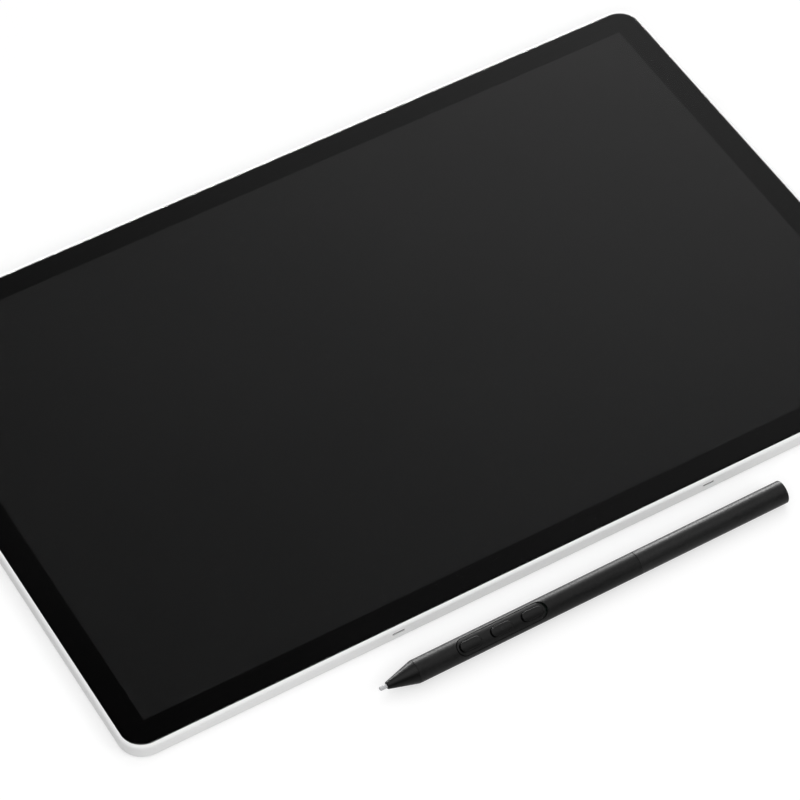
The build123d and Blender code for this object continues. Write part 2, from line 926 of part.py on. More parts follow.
# Every piece, by name
tablet_pieces = {
    "rear_cover": make_rear_cover(),
    "rubber_feet": make_rubber_feet(),
    "mid_frame": make_mid_frame(),
    "frame_screws": make_frame_screws(),
    "cover_glass": make_cover_glass(),
    "border_mask": make_border_mask(),
    "optical_bond": make_optical_bond(),
    "glass_adhesive": make_glass_adhesive(),
    "display_panel": make_display_panel(),
    "digitizer_board": make_digitizer_board(),
    "shield_sheet": make_shield_sheet(),
    "heat_spreader": make_heat_spreader(),
    "main_board": make_main_board(),
    "board_chips": make_board_chips(),
    "chip_shields": make_chip_shields(),
    "thermal_pads": make_thermal_pads(),
    "board_screws": make_board_screws(),
    "battery_cells": make_battery_cells(),
    "battery_flexes": make_battery_flexes(),
    "display_flex": make_display_flex(),
    "digitizer_flex": make_digitizer_flex(),
    "speaker_units": make_speaker_units(),
    "speaker_meshes": make_speaker_meshes(),
    "port_shell": make_port_shell(),
    "port_tongue": make_port_tongue(),
    "key_switches": make_key_switches(),
}
for name, (x, length) in keys().items():
    tablet_pieces[name] = make_key(x, length)

pen_pieces = {
    "nib": nib_shape(0),
    "nib_holder": make_nib_holder(),
    "nib_cone": make_nib_cone(),
    "front_barrel": make_front_barrel(),
    "rear_barrel": make_rear_barrel(),
    "switch_plate": make_switch_plate(),
    "front_button": make_button(button_starts[0], False),
    "middle_button": make_button(button_starts[1], True),
    "rear_button": make_button(button_starts[2], False),
    "pen_chassis": make_pen_chassis(),
    "barrel_seal": make_barrel_seal(),
    "coil_core": make_coil_core(),
    "coil_winding": make_coil_winding(),
    "pressure_sensor": make_pressure_sensor(),
    "pen_board": make_pen_board(),
    "button_switches": make_button_switches(),
    "nib_rack": make_nib_rack(),
    "spare_nibs": make_spare_nibs(),
    "nib_puller": make_nib_puller(),
}

os.makedirs("parts", exist_ok=True)
for name, piece in tablet_pieces.items():
    export_step(tablet_place * piece, f"parts/{name}.step")
for name, piece in pen_pieces.items():
    export_step(pen_place * piece, f"parts/{name}.step")
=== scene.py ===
import bmesh
import bpy
import json
from math import cos, pi, radians, sin
from mathutils import Matrix, Vector


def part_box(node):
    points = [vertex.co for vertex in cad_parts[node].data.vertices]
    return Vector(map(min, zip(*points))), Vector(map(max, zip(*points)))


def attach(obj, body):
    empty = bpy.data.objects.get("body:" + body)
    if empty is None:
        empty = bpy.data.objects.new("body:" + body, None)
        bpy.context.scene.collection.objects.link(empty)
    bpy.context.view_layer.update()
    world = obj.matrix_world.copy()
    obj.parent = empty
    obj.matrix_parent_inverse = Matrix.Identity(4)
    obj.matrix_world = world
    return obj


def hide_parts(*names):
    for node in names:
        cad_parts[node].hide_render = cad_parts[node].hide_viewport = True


# A graphics tablet with a screen, and its pen. Lengths are in metres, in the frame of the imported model.
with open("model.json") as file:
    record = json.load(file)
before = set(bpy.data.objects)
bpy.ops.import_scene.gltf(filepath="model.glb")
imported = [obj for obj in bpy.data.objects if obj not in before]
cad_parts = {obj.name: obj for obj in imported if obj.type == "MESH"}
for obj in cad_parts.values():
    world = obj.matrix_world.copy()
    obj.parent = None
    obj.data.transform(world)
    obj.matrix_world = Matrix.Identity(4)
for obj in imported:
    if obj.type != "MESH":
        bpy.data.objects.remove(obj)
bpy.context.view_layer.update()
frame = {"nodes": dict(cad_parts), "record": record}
nodes = frame["nodes"]
MM = 0.001

# Lengths that a node's box doesn't give
SCREEN_LENGTH = 301.6 * MM
SCREEN_WIDTH = 188.6 * MM
NOZZLE_LENGTH = 5.5 * MM

# Camera, as it stood for the photograph; it looks at a point given from the middle of the glass top
CAMERA_AZIMUTH = radians(-28.72)
CAMERA_ELEVATION = radians(50.0)
CAMERA_ROLL = radians(-1.84)
CAMERA_DISTANCE = 1322.6 * MM
CAMERA_NEAR = 10 * MM
CAMERA_LENS = 171.12
SENSOR_WIDTH = 36.0
AIM_X = -11.24 * MM
AIM_Y = -20.01 * MM

# Dome that lights the surfaces, brightest overhead
DOME_LOW = 0.2
DOME_TOP = 0.85

# Gloss shows the glow of a soft lamp at the far right
GLOW_AZIMUTH = radians(36.5)
GLOW_ELEVATION = radians(36.6)
GLOW_REACH = radians(24.4)
GLOW_SLOPE = 2.425

# Gloss shows white low down, which fades upwards and towards the near side
LOW_STRENGTH = 0.95
LOW_UNTIL = sin(radians(18))
DARK_FROM = sin(radians(34))
LOW_NEAR_SHARE = 0.1
NEAR_UNTIL = -0.3
FAR_FROM = 0.1

# Gloss shows a large softbox over the camera
OVERHEAD_AZIMUTH = radians(208.7)
OVERHEAD_ELEVATION = radians(76)
OVERHEAD_INNER = radians(22)
OVERHEAD_OUTER = radians(44)
OVERHEAD_STRENGTH = 3.4

# Floor, and how much paler it looks than the light on it makes it
FLOOR_SIZE = 12
FLOOR_COLOUR = 0.55
FLOOR_ROUGHNESS = 0.9
FLOOR_LIFT = 0.5

# Softboxes round the object, and a long low one for the highlight along the pen
LAMP_DISTANCE = 1.8
SOFTBOXES = {
    "key": dict(azimuth=radians(50), elevation=radians(48), width=1.1, height=1.1, power=5),
    "front_left": dict(azimuth=radians(215), elevation=radians(30), width=1.0, height=0.8, power=7.5),
    "front_right": dict(azimuth=radians(150), elevation=radians(32), width=1.0, height=0.8, power=7),
}
STRIP_LIGHT = dict(azimuth=radians(20), elevation=radians(17), width=2.2, height=0.6, power=130)


def direction(azimuth, elevation):
    """A unit vector towards a place in the studio; azimuth is from +Y towards +X."""
    return Vector((sin(azimuth) * cos(elevation), cos(azimuth) * cos(elevation), sin(elevation)))


def glass_middle():
    """The middle of the top face of the glass."""
    low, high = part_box("cover_glass")
    return Vector(((low.x + high.x) / 2, (low.y + high.y) / 2, high.z))


# Node trees
RANGE_INPUTS = ("Value", "From Min", "From Max", "To Min", "To Max")
# Sockets of a Mix node for the share, the first and second of what it mixes, and the result
MIX_SOCKETS = {"FLOAT": (0, 2, 3, 0), "RGBA": (0, 6, 7, 2)}


def grey(value):
    """A neutral colour."""
    return (value, value, value, 1)


def link(tree, source, target):
    """Joins an output to an input."""
    tree.links.new(source, target)


def feed(tree, target, value):
    """Sets an input, or links it where the value is another node's output."""
    if isinstance(value, bpy.types.NodeSocket):
        link(tree, value, target)
    else:
        target.default_value = value


def add(tree, kind, **settings):
    """A new node with its settings."""
    node = tree.nodes.new(kind)
    for name, value in settings.items():
        setattr(node, name, value)
    return node


def maths(tree, operation, first, second=0.0, clamp=False):
    """The output of one step of arithmetic."""
    node = add(tree, "ShaderNodeMath", operation=operation, use_clamp=clamp)
    feed(tree, node.inputs[0], first)
    feed(tree, node.inputs[1], second)
    return node.outputs[0]


def average(tree, first, second):
    """The mean of two values."""
    return maths(tree, "MULTIPLY", maths(tree, "ADD", first, second), 0.5)


def spread(tree, value, low, high, to_low, to_high):
    """A value carried from one range to another and held inside it."""
    node = add(tree, "ShaderNodeMapRange")
    for name, given in zip(RANGE_INPUTS, (value, low, high, to_low, to_high)):
        feed(tree, node.inputs[name], given)
    return node.outputs[0]


def mix(tree, kind, share, first, second):
    """What lies between two others: FLOAT is for numbers, and RGBA for colours."""
    share_in, first_in, second_in, result = MIX_SOCKETS[kind]
    node = add(tree, "ShaderNodeMix", data_type=kind)
    feed(tree, node.inputs[share_in], share)
    feed(tree, node.inputs[first_in], first)
    feed(tree, node.inputs[second_in], second)
    return node.outputs[result]


def noise(tree, vector, scale, detail, roughness):
    """The value of a noise over the surface."""
    node = add(tree, "ShaderNodeTexNoise")
    link(tree, vector, node.inputs["Vector"])
    feed(tree, node.inputs["Scale"], scale)
    node.inputs["Detail"].default_value = detail
    node.inputs["Roughness"].default_value = roughness
    return node.outputs["Fac"]


# Effects that several finishes share
SHADE_SCALE_SHARE = 0.31
EDGE_TURN = 0.93
EDGE_SAMPLES = 4
CHIPS_PER_METRE = 900.0
CHIP_SHADES = (0.42, 0.62)


def new_effect(name, inputs, outputs):
    """An empty node group with named values in and out."""
    group = bpy.data.node_groups.new(name, "ShaderNodeTree")
    for label, value in inputs.items():
        socket = group.interface.new_socket(label, in_out="INPUT", socket_type="NodeSocketFloat")
        socket.default_value = value
    for label in outputs:
        group.interface.new_socket(label, in_out="OUTPUT", socket_type="NodeSocketFloat")
    return group, add(group, "NodeGroupInput"), add(group, "NodeGroupOutput")


def surface_place(tree):
    """Where a point lies on the piece, in metres."""
    return add(tree, "ShaderNodeTexCoord").outputs["Object"]


def make_fine_grain():
    """The small even bumps of a blasted, moulded or etched surface, Size across, and a coarser shade."""
    group, given, out = new_effect("fine_grain", {"Size": 0.2 * MM}, ("Height", "Shade"))
    scale = maths(group, "DIVIDE", 1.0, given.outputs["Size"])
    place = surface_place(group)
    link(group, noise(group, place, scale, detail=2.0, roughness=0.6), out.inputs["Height"])
    coarse = maths(group, "MULTIPLY", scale, SHADE_SCALE_SHARE)
    link(group, noise(group, place, coarse, detail=4.0, roughness=0.65), out.inputs["Shade"])
    return group


def make_soft_mottle():
    """Broad, faint unevenness, as handling and moulding leave it."""
    group, given, out = new_effect("soft_mottle", {"Size": 30 * MM, "Contrast": 1.0}, ("Shade",))
    scale = maths(group, "DIVIDE", 1.0, given.outputs["Size"])
    value = noise(group, surface_place(group), scale, detail=5.0, roughness=0.6)
    centred = maths(group, "MULTIPLY", maths(group, "SUBTRACT", value, 0.5), given.outputs["Contrast"])
    link(group, maths(group, "ADD", centred, 0.5, clamp=True), out.inputs["Shade"])
    return group


def make_rubbed_highlit_edges():
    """A mask along outer edges, broken up as wear is: partly wear, partly a painted highlight."""
    group, given, out = new_effect("rubbed_highlit_edges", {"Reach": 0.3 * MM, "Amount": 0.5}, ("Mask",))
    bevel = add(group, "ShaderNodeBevel", samples=EDGE_SAMPLES)
    link(group, given.outputs["Reach"], bevel.inputs["Radius"])
    turn = add(group, "ShaderNodeVectorMath", operation="DOT_PRODUCT")
    link(group, bevel.outputs[0], turn.inputs[0])
    link(group, add(group, "ShaderNodeNewGeometry").outputs["Normal"], turn.inputs[1])
    edge = spread(group, turn.outputs["Value"], 1.0, EDGE_TURN, 0.0, 1.0)
    flecks = noise(group, surface_place(group), CHIPS_PER_METRE, detail=4.0, roughness=0.7)
    rubbed_highlit = maths(group, "MULTIPLY", edge, spread(group, flecks, *CHIP_SHADES, 0.0, 1.0))
    link(group, maths(group, "MULTIPLY", rubbed_highlit, given.outputs["Amount"], clamp=True), out.inputs["Mask"])
    return group


def make_drawn_lines():
    """Fine lines along X, as drawing, rolling or brushing leaves them."""
    group, given, out = new_effect("drawn_lines", {"Size": 0.1 * MM, "Stretch": 40.0}, ("Height", "Shade"))
    scale = maths(group, "DIVIDE", 1.0, given.outputs["Size"])
    apart = add(group, "ShaderNodeSeparateXYZ")
    link(group, surface_place(group), apart.inputs[0])
    joined = add(group, "ShaderNodeCombineXYZ")
    link(group, maths(group, "DIVIDE", apart.outputs["X"], given.outputs["Stretch"]), joined.inputs["X"])
    link(group, apart.outputs["Y"], joined.inputs["Y"])
    link(group, apart.outputs["Z"], joined.inputs["Z"])
    value = noise(group, joined.outputs[0], scale, detail=3.0, roughness=0.7)
    link(group, value, out.inputs["Height"])
    link(group, value, out.inputs["Shade"])
    return group


EFFECTS = {
    "fine_grain": make_fine_grain(),
    "soft_mottle": make_soft_mottle(),
    "rubbed_highlit_edges": make_rubbed_highlit_edges(),
    "drawn_lines": make_drawn_lines(),
}


def effect(tree, name, **values):
    """One of the shared effects, placed in a finish with its own values."""
    node = add(tree, "ShaderNodeGroup", node_tree=EFFECTS[name])
    for label, value in values.items():
        node.inputs[label].default_value = value
    return node


# Finishes: the range of shades that a colour or a roughness follows, and what several finishes share
COLOUR_SHADES = (0.35, 0.65)
ROUGH_SHADES = (0.3, 0.7)
REFRACTION = 1.5
MOTTLE_SIZE = 25 * MM
MOTTLE_CONTRAST = 0.9
RUB_AND_HIGHLIGHT_REACH = 0.15 * MM
LINE_STRENGTH = 0.3
LINE_DEPTH = 0.004 * MM


def new_finish(name, roughness, metallic=0.0, shine=0.5):
    """A material, its node tree and its main shader."""
    material = bpy.data.materials.new(name)
    material.use_nodes = True
    tree = material.node_tree
    shader = tree.nodes["Principled BSDF"]
    shader.inputs["Roughness"].default_value = roughness
    shader.inputs["Metallic"].default_value = metallic
    shader.inputs["Specular IOR Level"].default_value = shine
    shader.inputs["IOR"].default_value = REFRACTION
    return material, tree, shader


def set_colour(tree, shader, share, dark, light):
    """A colour between a dark and a light one."""
    link(tree, mix(tree, "RGBA", share, dark, light), shader.inputs["Base Color"])


def set_roughness(tree, shader, shade, low, high):
    """Roughness that follows a shade."""
    link(tree, spread(tree, shade, *ROUGH_SHADES, low, high), shader.inputs["Roughness"])


def set_bump(tree, shader, height, strength, depth):
    """Small relief from a height that varies over the surface."""
    bump = add(tree, "ShaderNodeBump")
    bump.inputs["Strength"].default_value = strength
    bump.inputs["Distance"].default_value = depth
    link(tree, height, bump.inputs["Height"])
    link(tree, bump.outputs[0], shader.inputs["Normal"])


def grained(name, dark, light, smooth, rough, size=0.2 * MM, depth=0.01 * MM, strength=0.3, shine=0.5,
            rub_and_highlight=0.0, rubbed_highlit=None):
    """A moulded or blasted finish: grain, broad unevenness and, where asked, edges paler from wear and a
    painted highlight.
    """
    material, tree, shader = new_finish(name, rough, shine=shine)
    grain = effect(tree, "fine_grain", Size=size)
    mottle = effect(tree, "soft_mottle", Size=MOTTLE_SIZE, Contrast=MOTTLE_CONTRAST)
    shade = average(tree, grain.outputs["Shade"], mottle.outputs["Shade"])
    colour = mix(tree, "RGBA", spread(tree, shade, *COLOUR_SHADES, 0.0, 1.0), dark, light)
    # Paler edges: partly wear, partly a painted highlight where light catches them
    if rub_and_highlight:
        mask = effect(tree, "rubbed_highlit_edges", Reach=RUB_AND_HIGHLIGHT_REACH, Amount=rub_and_highlight).outputs["Mask"]
        colour = mix(tree, "RGBA", mask, colour, rubbed_highlit)
    link(tree, colour, shader.inputs["Base Color"])
    set_roughness(tree, shader, shade, smooth, rough)
    set_bump(tree, shader, grain.outputs["Height"], strength, depth)
    return material


def drawn(name, dark, light, smooth, rough, size=0.1 * MM):
    """A bare metal with fine lines along its length."""
    material, tree, shader = new_finish(name, rough, metallic=1.0)
    lines = effect(tree, "drawn_lines", Size=size)
    set_colour(tree, shader, lines.outputs["Shade"], dark, light)
    set_roughness(tree, shader, lines.outputs["Shade"], smooth, rough)
    set_bump(tree, shader, lines.outputs["Height"], LINE_STRENGTH, LINE_DEPTH)
    return material


def make_cover_shell():
    """Pale blasted metal under a satin coat."""
    return grained("cover_shell", dark=grey(0.78), light=grey(0.82), smooth=0.42, rough=0.52,
                   size=0.12 * MM, depth=0.004 * MM, strength=0.25)


def make_etched_glass():
    """Clear glass with a finely etched top, which lets the lamps through to what is bonded under it."""
    material, tree, shader = new_finish("etched_glass", roughness=0.1)
    grain = effect(tree, "fine_grain", Size=0.08 * MM)
    mottle = effect(tree, "soft_mottle", Size=60 * MM, Contrast=0.8)
    shader.inputs["Base Color"].default_value = grey(1.0)
    shader.inputs["Transmission Weight"].default_value = 1.0
    set_roughness(tree, shader, mottle.outputs["Shade"], low=0.085, high=0.11)
    set_bump(tree, shader, grain.outputs["Height"], strength=0.01, depth=0.0005 * MM)
    clear = add(tree, "ShaderNodeBsdfTransparent")
    choice = add(tree, "ShaderNodeMixShader")
    link(tree, add(tree, "ShaderNodeLightPath").outputs["Is Shadow Ray"], choice.inputs[0])
    link(tree, shader.outputs[0], choice.inputs[1])
    link(tree, clear.outputs[0], choice.inputs[2])
    link(tree, choice.outputs[0], tree.nodes["Material Output"].inputs["Surface"])
    return material


def make_mask_ink():
    """Black ink printed on the back of the glass."""
    material, tree, shader = new_finish("mask_ink", roughness=0.6, shine=0.0)
    shade = effect(tree, "fine_grain", Size=0.1 * MM).outputs["Shade"]
    set_colour(tree, shader, shade, dark=grey(0.0002), light=grey(0.0005))
    return material


def make_screen():
    """A dark screen, switched off, which mirrors a little inside the glass."""
    material, tree, shader = new_finish("dark_screen", roughness=0.2, shine=0.12)
    mottle = effect(tree, "soft_mottle", Size=90 * MM, Contrast=0.5)
    grain = effect(tree, "fine_grain", Size=0.1 * MM)
    shade = average(tree, grain.outputs["Shade"], mottle.outputs["Shade"])
    share = spread(tree, shade, *ROUGH_SHADES, 0.0, 1.0)
    set_colour(tree, shader, share, dark=grey(0.0040), light=grey(0.0050))
    set_roughness(tree, shader, shade, low=0.18, high=0.22)
    return material


def make_barrel_resin():
    """Black, with a fine matt texture."""
    return grained("barrel_resin", dark=grey(0.0045), light=grey(0.0125), smooth=0.38, rough=0.50,
                   size=0.3 * MM, depth=0.05 * MM, strength=0.6, shine=0.09, rub_and_highlight=0.2, rubbed_highlit=grey(0.025))


def make_tail_resin():
    """As the rest of the barrel, a little smoother and paler; the paler colour is partly its own tone and
    partly a painted sheen.
    """
    return grained("tail_resin", dark=grey(0.0075), light=grey(0.0165), smooth=0.34, rough=0.46,
                   size=0.3 * MM, depth=0.04 * MM, strength=0.5, shine=0.11, rub_and_highlight=0.2, rubbed_highlit=grey(0.025))


def make_cone_resin():
    """Black, half gloss."""
    return grained("cone_resin", dark=grey(0.001), light=grey(0.003), smooth=0.38, rough=0.46,
                   size=0.3 * MM, depth=0.015 * MM, shine=0.12, rub_and_highlight=0.2, rubbed_highlit=grey(0.02))


def make_button_resin():
    """Black and smooth, a little polished by fingers, with paler edges that are partly wear and partly a
    painted highlight.
    """
    return grained("button_resin", dark=grey(0.004), light=grey(0.008), smooth=0.34, rough=0.42,
                   size=0.2 * MM, depth=0.015 * MM, shine=0.1, rub_and_highlight=0.7, rubbed_highlit=grey(0.06))


def make_nib_resin():
    """Grey resin, worn by drawing."""
    return grained("nib_resin", dark=(0.40, 0.40, 0.41, 1), light=(0.50, 0.50, 0.51, 1), smooth=0.45,
                   rough=0.6, size=0.1 * MM, depth=0.01 * MM)


def make_mesh_steel():
    """Blackened steel wire."""
    return drawn("mesh_steel", dark=grey(0.02), light=grey(0.05), smooth=0.4, rough=0.55, size=0.05 * MM)


def make_foot_rubber():
    """Dark rubber with a moulded grain."""
    return grained("foot_rubber", dark=grey(0.028), light=grey(0.04), smooth=0.75, rough=0.85,
                   size=0.25 * MM, depth=0.03 * MM)


# Traces of a circuit board: the cells between them, how near a cell's edge they lie, how much they show
TRACE_CELLS_PER_METRE = 260.0
TRACE_EDGES = (0.09, 0.05)
TRACE_SHARE = 0.7


def make_circuit_board():
    """Very dark green solder mask with paler traces and pads."""
    material, tree, shader = new_finish("circuit_board", roughness=0.35)
    cells = add(tree, "ShaderNodeTexVoronoi", feature="DISTANCE_TO_EDGE")
    link(tree, surface_place(tree), cells.inputs["Vector"])
    cells.inputs["Scale"].default_value = TRACE_CELLS_PER_METRE
    traces = spread(tree, cells.outputs["Distance"], *TRACE_EDGES, 0.0, TRACE_SHARE)
    set_colour(tree, shader, traces, dark=(0.0012, 0.004, 0.003, 1), light=(0.004, 0.012, 0.008, 1))
    set_bump(tree, shader, traces, strength=0.4, depth=0.03 * MM)
    return material


# The finishes that show, and the hidden ones that need more than grain or lines
SPECIAL_FINISHES = {
    "cover_shell": make_cover_shell,
    "key_metal": make_cover_shell,
    "cover_glass": make_etched_glass,
    "bond_film": make_etched_glass,
    "mask_ink": make_mask_ink,
    "screen_panel": make_screen,
    "barrel_resin": make_barrel_resin,
    "tail_resin": make_tail_resin,
    "cone_resin": make_cone_resin,
    "button_resin": make_button_resin,
    "nib_resin": make_nib_resin,
    "mesh_steel": make_mesh_steel,
    "foot_rubber": make_foot_rubber,
    "circuit_board": make_circuit_board,
    "sensor_board": make_circuit_board,
}
DRAWN_CLASSES = ("brushed_steel", "aluminium", "brass", "cast_iron")
DRAWN_SMOOTH = 0.28
DRAWN_ROUGH = 0.42
CLASS_ROUGHNESS = {"matte_plastic": 0.55, "gloss_plastic": 0.25, "rubber": 0.8, "glass": 0.1}
ROUGHNESS_SPREAD = 0.06
SHADE_SPREAD = 0.12


def plain_finish(entry):
    """A finish for a hidden piece, from its colour and class in the record."""
    colour = list(entry["base_color"])[:3]
    dark = (*[part * (1 - SHADE_SPREAD) for part in colour], 1)
    light = (*[part * (1 + SHADE_SPREAD) for part in colour], 1)
    if entry["class"] in DRAWN_CLASSES:
        return drawn(entry["slot"], dark, light, DRAWN_SMOOTH, DRAWN_ROUGH)
    middle = CLASS_ROUGHNESS[entry["class"]]
    return grained(entry["slot"], dark, light, middle - ROUGHNESS_SPREAD, middle + ROUGHNESS_SPREAD)


def make_finishes():
    """Every finish of the record, by slot."""
    made = {}
    for entry in frame["record"]["materials"]:
        special = SPECIAL_FINISHES.get(entry["slot"])
        made[entry["slot"]] = special() if special else plain_finish(entry)
    return made


def dress_nodes():
    """Gives every CAD piece the finish of its slot."""
    for part in frame["record"]["subparts"]:
        mesh = nodes[part["node"]].data
        mesh.materials.clear()
        mesh.materials.append(finishes[part["material_slot"]])


# Pieces
SEAM = 0.01 * MM
SHARP_ANGLE = radians(35)


def add_bridge(shape, first, second):
    """Faces between two closed loops of as many corners each."""
    for here in range(len(first)):
        after = (here + 1) % len(first)
        shape.faces.new((first[here], first[after], second[after], second[here]))


def add_skin(shape, rings):
    """A closed skin through rings of as many points each, with a face at either end."""
    loops = [[shape.verts.new(point) for point in ring] for ring in rings]
    for first, second in zip(loops, loops[1:]):
        add_bridge(shape, first, second)
    shape.faces.new(list(reversed(loops[0])))
    shape.faces.new(loops[-1])


def new_piece(name, shape, body, slot):
    """Puts a shape in the scene as a piece of a body, with the finish of its slot."""
    mesh = bpy.data.meshes.new(name)
    shape.to_mesh(mesh)
    shape.free()
    mesh.polygons.foreach_set("use_smooth", [True] * len(mesh.polygons))
    mesh.set_sharp_from_angle(angle=SHARP_ANGLE)
    mesh.materials.append(finishes[slot])
    piece = bpy.data.objects.new(name, mesh)
    bpy.context.scene.collection.objects.link(piece)
    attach(piece, body)
    return piece


# Clear glass, from the screen up to the softened edge of its top
GLASS_CORNER = 7.8 * MM
GLASS_EDGE = 0.18 * MM
EDGE_STEPS = 4
FLAT_BORDER = 0.5 * MM
SCREEN_CORNER = 0.2 * MM
PANEL_CORNER = 1.5 * MM
CORNER_STEPS = 14


def half_sizes(node):
    """Half the length and half the width of a node."""
    low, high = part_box(node)
    return (high.x - low.x) / 2, (high.y - low.y) / 2


def outline(half_length, half_width, corner, centre, height):
    """Points round a rectangle with rounded corners, anticlockwise."""
    points = []
    for quarter, (side, end) in enumerate(((1, 1), (-1, 1), (-1, -1), (1, -1))):
        for step in range(CORNER_STEPS + 1):
            turn = pi / 2 * (quarter + step / CORNER_STEPS)
            x = centre.x + side * (half_length - corner) + corner * cos(turn)
            y = centre.y + end * (half_width - corner) + corner * sin(turn)
            points.append((x, y, height))
    return points


def glass_outline(inset, centre, height):
    """The outline of the glass, drawn in by an inset."""
    half_length, half_width = half_sizes("cover_glass")
    return outline(half_length - inset, half_width - inset, GLASS_CORNER - inset, centre, height)


def make_clear_glass():
    """The cover glass and the clear film under it, as one clear body with a softened edge."""
    low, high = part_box("cover_glass")
    film_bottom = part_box("display_panel")[1].z - SEAM
    mask_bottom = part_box("border_mask")[0].z - SEAM
    mask_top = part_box("border_mask")[1].z - SEAM
    centre = (low + high) / 2
    panel = half_sizes("display_panel")
    window = (SCREEN_LENGTH / 2 + SEAM, SCREEN_WIDTH / 2 + SEAM)
    rings = [
        outline(*panel, PANEL_CORNER, centre, film_bottom),
        outline(*panel, PANEL_CORNER, centre, mask_bottom),
        outline(*window, SCREEN_CORNER, centre, mask_bottom),
        outline(*window, SCREEN_CORNER, centre, mask_top),
        glass_outline(0, centre, mask_top),
    ]
    for step in range(EDGE_STEPS + 1):
        turn = pi / 2 * step / EDGE_STEPS
        height = high.z - GLASS_EDGE * (1 - sin(turn))
        rings.append(glass_outline(GLASS_EDGE * (1 - cos(turn)), centre, height))
    rings.append(glass_outline(GLASS_EDGE + FLAT_BORDER, centre, high.z))
    shape = bmesh.new()
    add_skin(shape, rings)
    piece = new_piece("clear_glass", shape, "tablet", "cover_glass")
    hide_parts("cover_glass", "optical_bond")


# Contacts of the USB-C receptacle, on both faces of its tongue
CONTACTS = 12
CONTACT_PITCH = 0.5 * MM
CONTACT_WIDTH = 0.26 * MM
CONTACT_TIP_WIDTH = CONTACT_WIDTH / 2
CONTACT_LENGTH = 4.2 * MM
CONTACT_PROUD = 0.03 * MM
CONTACT_FRONT = 0.5 * MM
CONTACT_ROUND = 0.1 * MM
CONTACT_BEVEL = 0.02 * MM


def contact_outline(end, y):
    """The corners of a contact, from its rear end round its narrowed tip."""
    rear = end - CONTACT_LENGTH
    neck = end - CONTACT_ROUND
    side = CONTACT_WIDTH / 2
    tip = CONTACT_TIP_WIDTH / 2
    near = [(rear, y - side), (neck, y - side), (end, y - tip)]
    far = [(end, y + tip), (neck, y + side), (rear, y + side)]
    return near + far


def add_contact(shape, end, y, face, out):
    """One strip on a face of the tongue, with its upper edges softened."""
    corners = contact_outline(end, y)
    middle = end - CONTACT_LENGTH / 2
    base = [(along, across, face - out * SEAM) for along, across in corners]
    wall = [(along, across, face + out * (CONTACT_PROUD - CONTACT_BEVEL)) for along, across in corners]
    top = []
    for along, across in corners:
        inner_x = along + CONTACT_BEVEL * (1 if along < middle else -1)
        inner_y = across + CONTACT_BEVEL * (1 if across < y else -1)
        top.append((inner_x, inner_y, face + out * CONTACT_PROUD))
    add_skin(shape, (base, wall, top))


def make_port_contacts():
    """Two rows of bare metal strips, narrowed where the plug runs in."""
    low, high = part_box("port_tongue")
    middle = (low.y + high.y) / 2
    end = high.x - CONTACT_FRONT
    shape = bmesh.new()
    for place in range(CONTACTS):
        y = middle + (place - (CONTACTS - 1) / 2) * CONTACT_PITCH
        for face, out in ((high.z, 1), (low.z, -1)):
            add_contact(shape, end, y, face, out)
    bmesh.ops.recalc_face_normals(shape, faces=shape.faces)
    new_piece("port_contacts", shape, "tablet", "copper_wire")


# Woven dust mesh over each slot
WIRE = 0.07 * MM
WIRE_PITCH = 0.22 * MM
WIRE_SIDES = 6


def add_wire(shape, points):
    """A round wire through points that bend to and fro along Y."""
    rings = []
    for place, point in enumerate(points):
        before = points[max(place - 1, 0)]
        after = points[min(place + 1, len(points) - 1)]
        along = (after - before).normalized()
        side = along.cross(Vector((0, 1, 0))).normalized()
        out = side.cross(along)
        ring = []
        for corner in range(WIRE_SIDES):
            turn = 2 * pi * corner / WIRE_SIDES
            ring.append(point + WIRE / 2 * (cos(turn) * side + sin(turn) * out))
        rings.append(ring)
    add_skin(shape, rings)


def make_woven_meshes():
    """A plain weave of steel wire where each dust mesh lies."""
    low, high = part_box("speaker_meshes")
    depth = (low.y + high.y) / 2
    lift = (high.y - low.y - WIRE) / 2
    across = int(NOZZLE_LENGTH / WIRE_PITCH)
    up = int((high.z - low.z) / WIRE_PITCH)
    first_z = low.z + (high.z - low.z - (up - 1) * WIRE_PITCH) / 2
    shape = bmesh.new()
    for start in (low.x, high.x - NOZZLE_LENGTH):
        first_x = start + (NOZZLE_LENGTH - (across - 1) * WIRE_PITCH) / 2
        for i in range(across):
            x = first_x + i * WIRE_PITCH
            rising = [Vector((x, depth + lift * (-1) ** (i + j), first_z + j * WIRE_PITCH))
                      for j in range(up)]
            add_wire(shape, rising)
        for j in range(up):
            z = first_z + j * WIRE_PITCH
            level = [Vector((first_x + i * WIRE_PITCH, depth - lift * (-1) ** (i + j), z))
                     for i in range(across)]
            add_wire(shape, level)
    piece = new_piece("woven_meshes", shape, "tablet", "mesh_steel")
    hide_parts("speaker_meshes")


# Dark lining that holds each mesh in its slot; the slot's middle lies a drop under the top of the glass
SOUND_SLOT_LENGTH = 4.7 * MM
SOUND_SLOT_HEIGHT = 1.0 * MM
SOUND_SLOT_DROP = 2.3 * MM
LINING_WALL = 0.06 * MM
LINING_SETBACK = 0.4 * MM
LINING_STEPS = 12


def slot_ring(x, y, z, radius):
    """Points round a slot's outline, at one depth in the wall."""
    points = []
    for end in (0, 1):
        middle = x + (1 - 2 * end) * (SOUND_SLOT_LENGTH - SOUND_SLOT_HEIGHT) / 2
        for step in range(LINING_STEPS + 1):
            turn = pi * (end + step / LINING_STEPS) - pi / 2
            points.append((middle + radius * cos(turn), y, z + radius * sin(turn)))
    return points


